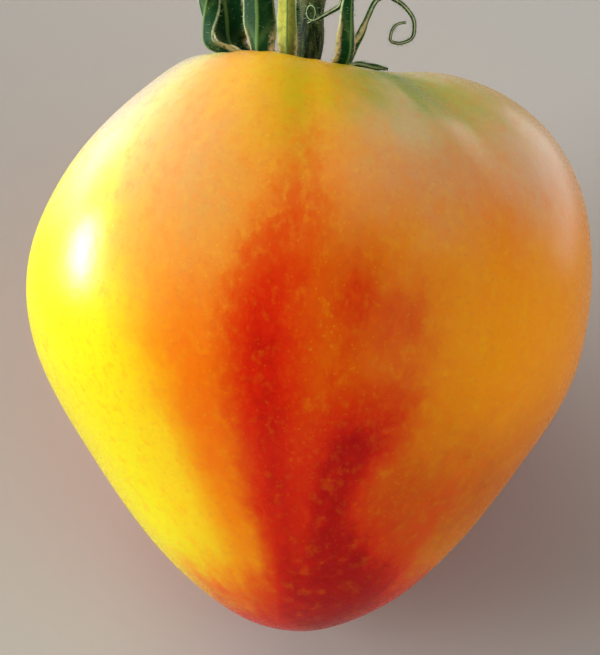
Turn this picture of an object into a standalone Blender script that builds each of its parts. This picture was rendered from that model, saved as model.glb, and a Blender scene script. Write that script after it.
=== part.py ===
"""A heart-shaped bicolour tomato as picked, with its calyx and a short length of stalk.

The fruit is modelled upright in its own frame: the blossom end is at the origin, the stalk points
up +Z, and -Y is the side that faces a viewer. The whole is then laid down on the flank opposite the
viewer, which is how a fruit of this shape rests, with the centre of the small flat of that flank at
the origin of the world and on the surface Z = 0. Lengths are in metres unless a comment says mm.
"""

import math
from typing import NamedTuple

import bmesh
import bpy
import numpy as np
from mathutils import Matrix, Vector

MM = 0.001
GAP = 0.42 * MM
SHARP_EDGE = math.radians(45)

# The fruit's outline on its left and right, from the blossom end, over the shoulder and down to the
# floor of the stem cavity: (distance from the axis, height) in mm.
LEFT_OUTLINE = (
    (0.0, 0.0), (6.0, 0.9), (12.0, 4.1), (22.1, 13.6), (31.1, 26.3), (38.2, 38.6), (41.2, 51.0),
    (39.3, 62.5), (32.6, 74.1), (22.9, 82.9), (14.0, 87.2), (9.3, 84.8), (6.6, 80.9), (3.4, 78.8),
    (0.0, 78.5),
)
RIGHT_OUTLINE = (
    (0.0, 0.0), (6.5, 1.3), (13.0, 4.2), (24.2, 13.6), (34.1, 26.3), (41.4, 38.4), (43.9, 52.0),
    (43.0, 64.5), (38.0, 75.2), (28.4, 82.3), (17.0, 84.5), (10.4, 82.8), (6.8, 80.2), (3.4, 78.8),
    (0.0, 78.5),
)
DEPTH_SHARE = 0.93
FRUIT_SEGMENTS = 64
FRUIT_RINGS = 42


class Lobe(NamedTuple):
    """A swelling (+) or furrow (-) of the shoulder. Azimuth 0 faces the viewer, 90 is to the right."""

    azimuth: float
    half_width: float
    crest_rise: float
    side_swelling: float


# Azimuths and half widths in degrees, rises and swellings in mm.
SHOULDER_LOBES = (
    Lobe(-22, 34, 3.5, 0.8),
    Lobe(-4, 9, -0.4, -0.6),
    Lobe(47, 12, -1.5, -1.2),
    Lobe(112, 14, -1.0, -1.2),
    Lobe(158, 40, -1.3, -1.0),
    Lobe(-150, 14, -1.1, -1.3),
    Lobe(-93, 11, -0.6, -0.8),
)
# Where along the outline, from 0 at the blossom end to 1 in the cavity, the lobes start, are full and end.
LOBES_START = 0.50
LOBES_FULL = 0.77
LOBES_END = 0.92

# The flank that the fruit lies on: how far below the fruit's equator its normal points, the fruit's
# balance point, and the distance from there to the flat.
FLANK_BELOW_EQUATOR = math.radians(32.0)
BALANCE_POINT = Vector((1.6, -0.3, 49.0)) * MM
BALANCE_TO_FLAT = 37.6 * MM

# The calyx's seat in the stem cavity, a turned disc: (distance from the axis, height) in mm, top down.
SEAT_PROFILE = (
    (0.0, 2.6), (1.9, 2.6), (3.2, 2.4), (4.2, 1.9), (4.6, 1.3), (4.4, 0.7), (3.4, 0.2), (0.0, 0.0)
)
SEAT_FOOT = 79.15 * MM
SEAT_RADIUS = 4.6 * MM
SEAT_STEPS = 24

# The stalk: (x, y, height above the seat, radius) in mm. The swelling is the knuckle where it snaps.
STALK = (
    (0.0, 0.0, 0.0, 2.3), (0.1, 0.0, 1.6, 2.1), (1.0, 0.2, 3.8, 1.9), (1.7, 0.7, 6.4, 1.85),
    (1.8, 1.3, 9.5, 1.85), (1.8, 2.0, 13.0, 2.1), (1.8, 2.4, 14.6, 2.7), (1.9, 2.9, 16.2, 2.6),
    (2.1, 3.5, 18.0, 2.0), (2.4, 4.3, 20.5, 1.8), (2.7, 5.4, 23.5, 1.75),
)


class Sepal(NamedTuple):
    """Azimuth in degrees, length and width in mm.

    Climbs are (share of the length, degrees above level and outwards). A climb past 90 leans back
    over the calyx, and one that goes on past a full turn curls up. Twists are (share, degrees about
    the midrib). The blade ends at its share of the length, and a thread goes on from there.
    """

    azimuth: float
    length: float
    width: float
    blade_share: float
    climbs: tuple
    twists: tuple


STRAIGHT = ((0, 0), (1, 0))
SEPALS = {
    "sepal_left": Sepal(
        -82, 31, 4.4, 1.0,
        ((0, 68), (0.14, 52), (0.26, 26), (0.35, 18), (0.45, 90), (0.62, 97), (0.8, 75), (1, 30)),
        ((0.46, 0), (0.68, 80), (1, 90)),
    ),
    "sepal_front_left": Sepal(
        -40, 31, 5.0, 1.0,
        ((0, 62), (0.18, 48), (0.32, 90), (0.6, 82), (0.8, 60), (1, 0)),
        ((0.26, 0), (0.45, 26), (1, 20)),
    ),
    "sepal_front": Sepal(
        -12, 28, 2.9, 1.0,
        ((0, 60), (0.2, 56), (0.36, 90), (0.7, 94), (1, 112)),
        ((0.2, 0), (0.5, 14), (1, 20)),
    ),
    "sepal_front_right": Sepal(
        40, 36.8, 3.6, 0.6,
        ((0, 48), (0.18, 42), (0.28, 88), (0.47, 90), (0.56, 270), (0.62, 200), (0.74, 200), (1, -170)),
        STRAIGHT,
    ),
    "sepal_right_low": Sepal(
        68, 11.4, 3.0, 1.0,
        ((0, 62), (0.35, 50), (0.6, 0), (1, -10)),
        ((0, 0), (1, 10)),
    ),
    "sepal_right_curl": Sepal(
        100, 34, 3.0, 0.41,
        (
            (0, 66), (0.42, 66), (0.57, -32), (0.64, -52), (0.73, -95), (0.8, -160), (0.85, -190),
            (0.89, -280), (1, -362),
        ),
        STRAIGHT,
    ),
    "sepal_back_right": Sepal(
        172, 32, 4.4, 1.0,
        ((0, 60), (0.2, 55), (0.45, 84), (0.7, 64), (1, 10)),
        ((0.2, 0), (0.6, -22), (1, -30)),
    ),
    "sepal_back_left": Sepal(
        -118, 32, 5.4, 1.0,
        ((0, 68), (0.14, 54), (0.27, 24), (0.4, 88), (0.54, 80), (0.68, 54), (1, -30)),
        ((0.26, 0), (0.45, -44), (1, -50)),
    ),
}
SEPAL_FOOT_HEIGHT = 80.8 * MM
SEPAL_THICKNESS = 0.9 * MM
SEPAL_TIP_THICKNESS = 0.45 * MM
SEPAL_FOLD_SLOPE = 0.35
FOOT_WIDTH_SHARE = 0.45
FOOT_LENGTH_SHARE = 0.25
WIDEST_EARLY = 0.75
THREAD_WIDTH = 0.85 * MM
STATIONS_PER_MM = 0.8
THREAD_STATIONS_PER_MM = 1.5
STEPS_PER_STATION = 4


def clear_scene():
    for obj in list(bpy.data.objects):
        bpy.data.objects.remove(obj)


def material(name, colour, roughness):
    made = bpy.data.materials.new(name)
    made.use_nodes = True
    shader = made.node_tree.nodes["Principled BSDF"]
    shader.inputs["Base Color"].default_value = (*colour, 1.0)
    shader.inputs["Roughness"].default_value = roughness
    shader.inputs["Metallic"].default_value = 0.0
    return made


def natural_spline(knots, values):
    """The smoothest curve through the values at the knots, as a function of the knot coordinate."""
    knots = np.asarray(knots, float)
    values = np.asarray(values, float)
    step = np.diff(knots)
    slope = np.diff(values) / step
    system = np.eye(len(knots))
    right = np.zeros(len(knots))
    for i in range(1, len(knots) - 1):
        system[i, i - 1 : i + 2] = step[i - 1], 2 * (step[i - 1] + step[i]), step[i]
        right[i] = 6 * (slope[i] - slope[i - 1])
    bend = np.linalg.solve(system, right)

    def at(x):
        i = int(np.clip(np.searchsorted(knots, x) - 1, 0, len(step) - 1))
        before = x - knots[i]
        after = knots[i + 1] - x
        curved = (bend[i] * after**3 + bend[i + 1] * before**3) / (6 * step[i])
        start = (values[i] / step[i] - bend[i] * step[i] / 6) * after
        end = (values[i + 1] / step[i] - bend[i + 1] * step[i] / 6) * before
        return float(curved + start + end)

    return at


def outline_curves():
    """Distance and height of the left and the right outline, each a function of 0 to 1 along them."""
    left = np.array(LEFT_OUTLINE) * MM
    right = np.array(RIGHT_OUTLINE) * MM
    steps = np.linalg.norm(np.diff((left + right) / 2, axis=0), axis=1)
    along = np.concatenate([[0.0], np.cumsum(steps)]) / steps.sum()
    # Two mirrored points past each end make the curves cross the axis squarely.
    knots = np.concatenate([-along[2:0:-1], along, 2 - along[-2:-4:-1]])
    curves = []
    for outline in (left, right):
        for column, sign in ((0, -1), (1, 1)):
            values = outline[:, column]
            mirrored = np.concatenate([sign * values[2:0:-1], values, sign * values[-2:-4:-1]])
            curves.append(natural_spline(knots, mirrored))
    return curves


def ease(x):
    x = min(max(x, 0.0), 1.0)
    return x * x * (3 - 2 * x)


def lobe_weight(t):
    """How much of the lobes shows at t: none low on the flank or on the cavity's floor."""
    if t < LOBES_FULL:
        return ease((t - LOBES_START) / (LOBES_FULL - LOBES_START))
    return 1 - ease((t - LOBES_FULL) / (LOBES_END - LOBES_FULL))


def fruit_surface():
    """The function that gives the fruit's skin at t, from 0 to 1 along the outline, and an azimuth."""
    left_reach, left_height, right_reach, right_height = outline_curves()

    def at(t, azimuth):
        to_right = math.sin(azimuth)
        reach = (right_reach(t) + left_reach(t)) / 2
        lean = (right_reach(t) - left_reach(t)) / 2
        height = (right_height(t) + left_height(t)) / 2 + (right_height(t) - left_height(t)) / 2 * to_right
        weight = lobe_weight(t)
        for lobe in SHOULDER_LOBES:
            away = math.remainder(azimuth - math.radians(lobe.azimuth), 2 * math.pi)
            share = weight * math.exp(-((away / math.radians(lobe.half_width)) ** 2))
            height += lobe.crest_rise * MM * share
            reach += lobe.side_swelling * MM * share
        return Vector((lean + reach * to_right, -DEPTH_SHARE * reach * math.cos(azimuth), height))

    return at


def flank_normal():
    return Vector((0.0, math.cos(FLANK_BELOW_EQUATOR), -math.sin(FLANK_BELOW_EQUATOR)))


def lying_pose():
    """Carries the upright fruit to where it lies, with the foot below its balance point at the origin."""
    foot = BALANCE_POINT + flank_normal() * BALANCE_TO_FLAT
    turn = Matrix.Rotation(FLANK_BELOW_EQUATOR - math.pi / 2, 4, "X")
    return turn @ Matrix.Translation(-foot)


def add_object(name, data, finish, pose):
    data.materials.append(finish)
    obj = bpy.data.objects.new(name, data)
    bpy.data.collections["heart_tomato"].objects.link(obj)
    obj.parent = pose
    return obj


def make_fruit(finish, pose):
    skin = fruit_surface()
    shape = bmesh.new()
    bmesh.ops.create_uvsphere(shape, u_segments=FRUIT_SEGMENTS, v_segments=FRUIT_RINGS, radius=1.0)
    for vertex in shape.verts:
        t = math.acos(max(-1.0, min(1.0, -vertex.co.z))) / math.pi
        vertex.co = skin(t, math.atan2(vertex.co.x, -vertex.co.y))
    bmesh.ops.bisect_plane(
        shape,
        geom=shape.verts[:] + shape.edges[:] + shape.faces[:],
        plane_co=BALANCE_POINT + flank_normal() * BALANCE_TO_FLAT,
        plane_no=flank_normal(),
        clear_outer=True,
    )
    rim = [edge for edge in shape.edges if edge.is_boundary]
    bmesh.ops.contextual_create(shape, geom=rim)
    bmesh.ops.recalc_face_normals(shape, faces=shape.faces[:])
    mesh = bpy.data.meshes.new("fruit")
    shape.to_mesh(mesh)
    shape.free()
    mesh.shade_smooth()
    mesh.set_sharp_from_angle(angle=SHARP_EDGE)
    add_object("fruit", mesh, finish, pose)


def make_seat(finish, pose):
    mesh = bpy.data.meshes.new("calyx_seat")
    points = [(reach * MM, 0.0, height * MM) for reach, height in SEAT_PROFILE]
    mesh.from_pydata(points, [(i, i + 1) for i in range(len(points) - 1)], [])
    seat = add_object("calyx_seat", mesh, finish, pose)
    seat.location.z = SEAT_FOOT
    turned = seat.modifiers.new("turned", "SCREW")
    turned.steps = SEAT_STEPS
    turned.render_steps = SEAT_STEPS
    turned.use_merge_vertices = True
    turned.merge_threshold = 0.01 * MM
    turned.use_normal_calculate = True


def make_stalk(finish, pose):
    foot = SEAT_FOOT + SEAT_PROFILE[0][1] * MM + GAP
    curve = bpy.data.curves.new("stalk", "CURVE")
    curve.dimensions = "3D"
    curve.bevel_depth = MM
    curve.bevel_resolution = 3
    curve.use_fill_caps = True
    curve.resolution_u = 3
    line = curve.splines.new("NURBS")
    line.points.add(len(STALK) - 1)
    for point, (x, y, height, radius) in zip(line.points, STALK, strict=True):
        point.co = (x * MM, y * MM, foot + height * MM, 1.0)
        point.radius = radius
    line.order_u = 3
    line.use_endpoint_u = True
    add_object("stalk", curve, finish, pose)


def eased(angles, share):
    """The angle at a share of the length, eased between the stated (share, angle) pairs."""
    if share <= angles[0][0]:
        return angles[0][1]
    for (start, low), (end, high) in zip(angles, angles[1:]):
        if share <= end:
            return low + (high - low) * ease((share - start) / (end - start))
    return angles[-1][1]


def sepal_frames(sepal):
    """[(share of the length, point, across, out of the blade)] along a sepal, from its foot to its tip."""
    has_thread = sepal.blade_share < 1.0
    stations = round(sepal.length * (THREAD_STATIONS_PER_MM if has_thread else STATIONS_PER_MM))
    steps = STEPS_PER_STATION * stations
    heading = math.radians(sepal.azimuth)
    outward = Vector((math.sin(heading), -math.cos(heading), 0.0))
    up = Vector((0.0, 0.0, 1.0))
    across = outward.cross(up)
    point = up * SEPAL_FOOT_HEIGHT + outward * (SEAT_RADIUS + GAP)
    frames = []
    for i in range(steps + 1):
        share = i / steps
        climb = math.radians(eased(sepal.climbs, share))
        along = outward * math.cos(climb) + up * math.sin(climb)
        roll = Matrix.Rotation(math.radians(eased(sepal.twists, share)), 3, along)
        if i % STEPS_PER_STATION == 0:
            frames.append((share, point.copy(), roll @ across, roll @ across.cross(along)))
        point += along * (sepal.length * MM / steps)
    return frames


def sepal_width(share, sepal):
    """A sepal's width: a narrow foot, a broad blade and a drawn-out tip or a thread."""
    blade = 0.0
    if share < sepal.blade_share:
        blade = sepal.width * MM * math.sin(math.pi * (share / sepal.blade_share) ** WIDEST_EARLY)
    foot = sepal.width * MM * FOOT_WIDTH_SHARE * (1 - ease(share / FOOT_LENGTH_SHARE))
    return max(blade, foot, THREAD_WIDTH)


def make_sepal(name, finish, pose, sepal):
    """A blade of six-cornered sections, folded up a little along its midrib."""
    shape = bmesh.new()
    rings = []
    for share, point, across, outward in sepal_frames(sepal):
        half = sepal_width(share, sepal) / 2
        thick = SEPAL_THICKNESS + (SEPAL_TIP_THICKNESS - SEPAL_THICKNESS) * ease(share * 2)
        rib = thick / 2
        edge = thick / 3
        fold = (half - THREAD_WIDTH / 2) * SEPAL_FOLD_SLOPE
        inner = ((-half, fold + edge), (0.0, rib), (half, fold + edge))
        outer = ((half, fold - edge), (0.0, -rib), (-half, fold - edge))
        rings.append([shape.verts.new(point + across * a + outward * b) for a, b in inner + outer])
    for first, second in zip(rings, rings[1:]):
        for j in range(len(first)):
            k = (j + 1) % len(first)
            shape.faces.new((first[j], first[k], second[k], second[j]))
    shape.faces.new(rings[0])
    shape.faces.new(rings[-1])
    bmesh.ops.recalc_face_normals(shape, faces=shape.faces[:])
    mesh = bpy.data.meshes.new(name)
    shape.to_mesh(mesh)
    shape.free()
    mesh.shade_smooth()
    mesh.set_sharp_from_angle(angle=SHARP_EDGE)
    add_object(name, mesh, finish, pose)


def main():
    clear_scene()
    bpy.context.scene.collection.children.link(bpy.data.collections.new("heart_tomato"))
    skin = material("tomato_skin", (0.86, 0.33, 0.03), 0.28)
    green = material("calyx_green", (0.10, 0.24, 0.06), 0.6)
    stalk_green = material("stalk_green", (0.20, 0.33, 0.10), 0.6)
    pose = bpy.data.objects.new("lying_pose", None)
    bpy.data.collections["heart_tomato"].objects.link(pose)
    pose.matrix_world = lying_pose()
    make_fruit(skin, pose)
    make_seat(green, pose)
    make_stalk(stalk_green, pose)
    for name, sepal in SEPALS.items():
        make_sepal(name, green, pose, sepal)


main()
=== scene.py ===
"""The looks of a heart-shaped bicolour tomato that lies on its flank.

The fruit, the calyx and the stalk are shaped in the fruit's own upright frame, in millimetres: the
blossom end is at the origin, the stalk points up +Z, and -Y is the side that faces the camera. Each
finished piece is then carried to where the fruit lies. Colours are given as screen values, 0 to 255.
"""

import math
import random
from typing import NamedTuple

import bmesh
import bpy
import numpy as np
from bpy.props import FloatProperty, FloatVectorProperty, IntProperty, PointerProperty
from mathutils import Matrix, Vector, noise


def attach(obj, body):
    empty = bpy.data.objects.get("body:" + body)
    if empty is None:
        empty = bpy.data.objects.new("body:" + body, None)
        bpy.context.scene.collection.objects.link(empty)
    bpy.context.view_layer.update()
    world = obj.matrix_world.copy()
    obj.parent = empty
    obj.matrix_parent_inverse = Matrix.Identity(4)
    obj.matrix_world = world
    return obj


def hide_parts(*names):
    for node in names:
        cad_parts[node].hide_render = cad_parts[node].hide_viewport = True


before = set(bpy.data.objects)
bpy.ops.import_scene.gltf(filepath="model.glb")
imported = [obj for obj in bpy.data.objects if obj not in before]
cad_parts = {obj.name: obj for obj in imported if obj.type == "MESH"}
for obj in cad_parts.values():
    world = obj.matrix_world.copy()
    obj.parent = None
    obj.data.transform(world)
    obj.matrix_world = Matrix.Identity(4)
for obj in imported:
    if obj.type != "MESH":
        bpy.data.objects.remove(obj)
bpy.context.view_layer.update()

bl_info = {
    "name": "Heart-shaped tomato",
    "version": (1, 0, 0),
    "blender": (4, 5, 0),
    "location": "3D View > Sidebar > Tomato",
    "description": "Adds a ripe heart-shaped tomato with its calyx and stalk, and a plain stage for it",
    "category": "Add Mesh",
}

MM = 0.001
UP = Vector((0.0, 0.0, 1.0))

# The fruit's outline on its left and right, from the blossom end, over the shoulder and down to the
# floor of the stem cavity: (distance from the axis, height) in mm.
LEFT_OUTLINE = (
    (0.0, 0.0), (6.0, 0.9), (12.0, 4.1), (22.1, 13.6), (31.1, 26.3), (38.2, 38.6), (41.2, 51.0),
    (39.3, 62.5), (32.6, 74.1), (22.9, 82.9), (14.0, 87.2), (9.3, 84.8), (6.6, 80.9), (3.4, 78.8),
    (0.0, 78.5),
)
RIGHT_OUTLINE = (
    (0.0, 0.0), (6.5, 1.3), (13.0, 4.2), (24.2, 13.6), (34.1, 26.3), (41.4, 38.4), (43.9, 52.0),
    (43.0, 64.5), (38.0, 75.2), (28.4, 82.3), (17.0, 84.5), (10.4, 82.8), (6.8, 80.2), (3.4, 78.8),
    (0.0, 78.5),
)
DEPTH_SHARE = 0.93
# The middle of the fruit's body. The azimuths of its colours are measured around it.
FRUIT_MIDDLE = Vector((1.3, 0.0, 46.0))


class Lobe(NamedTuple):
    """A swelling (+) or furrow (-) of the shoulder: azimuth and half width in degrees, rises in mm.

    Azimuth 0 is the side that faces the camera, and the right is at 90.
    """

    azimuth: float
    half_width: float
    crest_rise: float
    side_swelling: float


SHOULDER_LOBES = (
    Lobe(-22, 34, 3.5, 0.8),
    Lobe(-4, 9, -0.4, -0.6),
    Lobe(47, 12, -1.5, -1.2),
    Lobe(112, 14, -1.0, -1.2),
    Lobe(158, 40, -1.3, -1.0),
    Lobe(-150, 14, -1.1, -1.3),
    Lobe(-93, 11, -0.6, -0.8),
)
# Where along the outline, from 0 to 1, the lobes start, are full and have gone again.
LOBES_START = 0.50
LOBES_FULL = 0.77
LOBES_END = 0.92

# How the fruit lies, as the fixed frame has it: which way down is for the upright fruit, the point that
# it balances around, and how far below that the flat spot is.
FLANK_BELOW_EQUATOR = math.radians(32.0)
BALANCE_POINT = Vector((1.6, -0.3, 49.0))
BALANCE_TO_FLAT = 37.6

# The calyx's seat: (distance from the axis, height above its foot) in mm, from its top to its foot.
SEAT_OUTLINE = (
    (0.0, 2.6), (1.9, 2.6), (3.2, 2.4), (4.2, 1.9), (4.6, 1.3), (4.4, 0.7), (3.4, 0.2), (0.0, 0.0)
)
SEAT_FOOT = 79.15
# Where the stalk's foot is, and how far down it is rooted in the seat.
STALK_FOOT = 82.17
STALK_ROOT = 1.0

# The stalk: (x, y, height above the seat, radius) in mm.
STALK = (
    (0.0, 0.0, 0.0, 2.3), (0.1, 0.0, 1.6, 2.1), (1.0, 0.2, 3.8, 1.9), (1.7, 0.7, 6.4, 1.85),
    (1.8, 1.3, 9.5, 1.85), (1.8, 2.0, 13.0, 2.1), (1.8, 2.4, 14.6, 2.7), (1.9, 2.9, 16.2, 2.6),
    (2.1, 3.5, 18.0, 2.0), (2.4, 4.3, 20.5, 1.8), (2.7, 5.4, 23.5, 1.75),
)
# The swollen joint's groove, above the stalk's foot.
KNUCKLE_HEIGHT = 15.5
STALK_STATIONS = 90


class Sepal(NamedTuple):
    """Azimuth in degrees, length and width in mm.

    Climbs are (share of the length, degrees above level and outwards), and twists are (share, degrees
    about the midrib). The blade ends at its share of the length, and a thread goes on from there.
    """

    azimuth: float
    length: float
    width: float
    blade_share: float
    climbs: tuple
    twists: tuple


STRAIGHT = ((0, 0), (1, 0))
SEPALS = {
    "sepal_left": Sepal(
        -82, 31, 4.4, 1.0,
        ((0, 68), (0.14, 52), (0.26, 26), (0.35, 18), (0.45, 90), (0.62, 97), (0.8, 75), (1, 30)),
        ((0.46, 0), (0.68, 80), (1, 90)),
    ),
    "sepal_front_left": Sepal(
        -40, 31, 5.0, 1.0,
        ((0, 62), (0.18, 48), (0.32, 90), (0.6, 82), (0.8, 60), (1, 0)),
        ((0.26, 0), (0.45, 26), (1, 20)),
    ),
    "sepal_front": Sepal(
        -12, 28, 2.9, 1.0,
        ((0, 60), (0.2, 56), (0.36, 90), (0.7, 94), (1, 112)),
        ((0.2, 0), (0.5, 14), (1, 20)),
    ),
    "sepal_front_right": Sepal(
        40, 36.8, 3.6, 0.6,
        ((0, 48), (0.18, 42), (0.28, 88), (0.47, 90), (0.56, 270), (0.62, 200), (0.74, 200), (1, -170)),
        STRAIGHT,
    ),
    "sepal_right_low": Sepal(
        68, 11.4, 3.0, 1.0,
        ((0, 62), (0.35, 50), (0.6, 0), (1, -10)),
        ((0, 0), (1, 10)),
    ),
    "sepal_right_curl": Sepal(
        100, 34, 3.0, 0.41,
        (
            (0, 66), (0.42, 66), (0.57, -32), (0.64, -52), (0.73, -95), (0.8, -160), (0.85, -190),
            (0.89, -280), (1, -362),
        ),
        STRAIGHT,
    ),
    "sepal_back_right": Sepal(
        172, 32, 4.4, 1.0,
        ((0, 60), (0.2, 55), (0.45, 84), (0.7, 64), (1, 10)),
        ((0.2, 0), (0.6, -22), (1, -30)),
    ),
    "sepal_back_left": Sepal(
        -118, 32, 5.4, 1.0,
        ((0, 68), (0.14, 54), (0.27, 24), (0.4, 88), (0.54, 80), (0.68, 54), (1, -30)),
        ((0.26, 0), (0.45, -44), (1, -50)),
    ),
}
# Only this one is painted with sunlight: yellow, stronger towards one side.
SUNLIT_SEPAL = "sepal_front"
# Where the sepals' feet are: height and distance from the axis.
SEPAL_FOOT_HEIGHT = 80.8
SEPAL_FOOT_REACH = 5.02
# The two places inside the seat that a sepal is rooted at, in mm from its foot.
SEPAL_ROOT = (1.8, 0.9)
# Half a sepal's width, in mm, where its thread starts to flatten, and how much more makes a full blade.
THREAD_HALF_WIDTH = 0.42
BLADE_WIDENING = 0.8
# How finely a sepal is divided: across half of its blade, along each mm, and for its hairs' places.
BLADE_STEPS = 6
STATIONS_PER_MM = 3.2
HAIR_STATIONS = 120


def paint(red, green, blue):
    """A screen colour, 0 to 255, as the linear colour that shaders take."""

    def linear(value):
        share = value / 255
        return share / 12.92 if share <= 0.04045 else ((share + 0.055) / 1.055) ** 2.4

    return linear(red), linear(green), linear(blue)


def colour_property(name, description, colour):
    return FloatVectorProperty(
        name=name,
        description=description,
        default=paint(*colour),
        size=3,
        min=0.0,
        max=1.0,
        subtype="COLOR",
    )


def factor_property(name, description, default):
    return FloatProperty(
        name=name, description=description, default=default, min=0.0, max=1.0, subtype="FACTOR"
    )


def length_property(name, description, millimetres):
    return FloatProperty(
        name=name,
        description=description,
        default=millimetres * MM,
        min=0.0,
        subtype="DISTANCE",
        unit="LENGTH",
    )


def light_property(name, place, strength):
    description = f"Strength of the soft light {place}, in watts per square metre"
    return FloatProperty(name=name, description=description, default=strength, min=0.0)


def count_property(name, description, count, least=0):
    return IntProperty(name=name, description=description, default=count, min=least)


class FruitSettings(bpy.types.PropertyGroup):
    segments: count_property("Segments", "Faces around the fruit", 288, 32)
    rings: count_property("Rings", "Faces from tip to stem cavity", 200, 32)
    lump_height: length_property("Lump height", "Height of the skin's slow unevenness", 0.22)
    wrinkle_height: length_property("Wrinkle height", "Depth of the folds into the stem cavity", 0.22)
    yellow: colour_property("Yellow", "The yellow of the left flank", (248, 236, 3))
    straw: colour_property("Straw", "The lightest skin, low on the left flank", (255, 218, 24))
    amber: colour_property("Amber", "The skin of the right flank and the back", (254, 158, 2))
    orange: colour_property("Orange", "The skin that borders the red on the left", (252, 122, 1))
    rust: colour_property("Rust", "The dull orange low on the right flank", (208, 98, 1))
    red: colour_property("Red", "The streaks", (222, 30, 1))
    deep_red: colour_property("Deep red", "The tip and the hearts of the streaks", (176, 2, 1))
    olive: colour_property("Olive", "The unripe green of the shoulder", (158, 172, 8))
    # Partly the skin's pinkish tone and partly painted reflection: the pink sheen of the surroundings on
    # the right shoulder.
    tan: colour_property("Tan", "The pinkish skin high on the right flank", (238, 164, 104))
    peach: colour_property("Peach", "The pale blush high on the left flank", (226, 160, 70))
    # Painted shade: the shoulder's olive, darker beside the calyx.
    moss: colour_property("Moss", "The darker green beside the calyx", (120, 148, 8))
    # Painted reflection: a pale sheen of the surroundings, painted into the skin along the crests of the
    # shoulders.
    cream: colour_property("Cream", "The palest skin, along the crests of the shoulder", (240, 220, 196))
    cork: colour_property("Cork", "The dry ring around the stalk and the scar at the tip", (140, 104, 60))
    roughness: factor_property("Roughness", "How soft the skin's reflections are", 0.27)
    gloss: factor_property("Gloss", "Strength of the skin's reflections", 0.15)
    translucence: factor_property("Translucence", "How much light the flesh scatters", 0.05)


class CalyxSettings(bpy.types.PropertyGroup):
    blade_thickness: length_property("Blade thickness", "Thickness of a sepal beside its midrib", 0.55)
    rib_height: length_property("Rib height", "How far a sepal's midrib stands out", 0.35)
    hair_length: length_property("Hair length", "Length of the longest hairs", 0.75)
    hairs_per_sepal: count_property("Hairs per sepal", "Hairs on each sepal", 420)
    # Partly the sepals' own green and partly painted shade: kept as dark as the backlit sepals look.
    dark_green_and_shade: colour_property("Dark green", "The face of the sepals", (8, 58, 22))
    light: colour_property("Light green", "The midribs and veins", (116, 150, 78))
    edge: colour_property("Edge green", "The thin edges and the hairs", (206, 218, 164))
    dry: colour_property("Dry edge", "Where the edges near the foot have dried", (214, 190, 128))
    # Painted sunlight: the yellow painted on the front sepal where the sun lights it.
    yellow: colour_property("Yellow", "Where the front sepal has turned yellow", (206, 206, 84))


class StalkSettings(bpy.types.PropertyGroup):
    # Partly the stalk's own green and partly painted shade: made almost black for the shade of the sepals
    # over it.
    green: colour_property("Stalk green", "The stalk's skin", (18, 40, 18))
    knuckle: colour_property("Knuckle", "The swollen joint where the stalk snaps", (142, 148, 84))
    pith: colour_property("Pith", "The heart of the broken end", (196, 190, 140))
    hairs: count_property("Hairs", "Hairs on the stalk", 900)


class StageSettings(bpy.types.PropertyGroup):
    floor: colour_property("Floor", "The floor's colour", (190, 187, 180))
    backdrop: colour_property("Backdrop", "The even brightness all round", (128, 128, 128))
    left_light: light_property("Left light", "on the left", 2.7)
    back_light: light_property("Back light", "behind", 2.3)
    right_light: light_property("Right light", "on the right", 1.5)


def natural_spline(knots, values):
    """The smoothest curve through the values at the knots, as a function of an array of places."""
    knots = np.asarray(knots, float)
    values = np.asarray(values, float)
    step = np.diff(knots)
    slope = np.diff(values) / step
    system = np.eye(len(knots))
    right = np.zeros(len(knots))
    for i in range(1, len(knots) - 1):
        system[i, i - 1 : i + 2] = step[i - 1], 2 * (step[i - 1] + step[i]), step[i]
        right[i] = 6 * (slope[i] - slope[i - 1])
    bend = np.linalg.solve(system, right)

    def at(places):
        i = np.clip(np.searchsorted(knots, places) - 1, 0, len(step) - 1)
        before = places - knots[i]
        after = knots[i + 1] - places
        curved = (bend[i] * after**3 + bend[i + 1] * before**3) / (6 * step[i])
        start = (values[i] / step[i] - bend[i] * step[i] / 6) * after
        end = (values[i + 1] / step[i] - bend[i + 1] * step[i] / 6) * before
        return curved + start + end

    return at


def ease(x):
    x = np.clip(x, 0.0, 1.0)
    return x * x * (3 - 2 * x)


def outline_curves():
    """Distance and height of the left and the right outline, each a function of 0 to 1 along them."""
    left = np.array(LEFT_OUTLINE)
    right = np.array(RIGHT_OUTLINE)
    steps = np.linalg.norm(np.diff((left + right) / 2, axis=0), axis=1)
    along = np.concatenate([[0.0], np.cumsum(steps)]) / steps.sum()
    knots = np.concatenate([-along[2:0:-1], along, 2 - along[-2:-4:-1]])
    curves = []
    for outline in (left, right):
        for column, sign in ((0, -1), (1, 1)):
            values = outline[:, column]
            mirrored = np.concatenate([sign * values[2:0:-1], values, sign * values[-2:-4:-1]])
            curves.append(natural_spline(knots, mirrored))
    return curves


def fruit_points(t, azimuth):
    """The fruit's skin at arrays of places along the outline (0 to 1) and azimuths (radians)."""
    left_reach, left_height, right_reach, right_height = outline_curves()
    to_right = np.sin(azimuth)
    reach = (right_reach(t) + left_reach(t)) / 2
    lean = (right_reach(t) - left_reach(t)) / 2
    height = (right_height(t) + left_height(t)) / 2 + (right_height(t) - left_height(t)) / 2 * to_right
    weight = np.where(
        t < LOBES_FULL,
        ease((t - LOBES_START) / (LOBES_FULL - LOBES_START)),
        1 - ease((t - LOBES_FULL) / (LOBES_END - LOBES_FULL)),
    )
    for lobe in SHOULDER_LOBES:
        away = np.remainder(azimuth - math.radians(lobe.azimuth) + math.pi, 2 * math.pi) - math.pi
        share = weight * np.exp(-((away / math.radians(lobe.half_width)) ** 2))
        height = height + lobe.crest_rise * share
        reach = reach + lobe.side_swelling * share
    return np.stack([lean + reach * to_right, -DEPTH_SHARE * reach * np.cos(azimuth), height], axis=-1)


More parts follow.
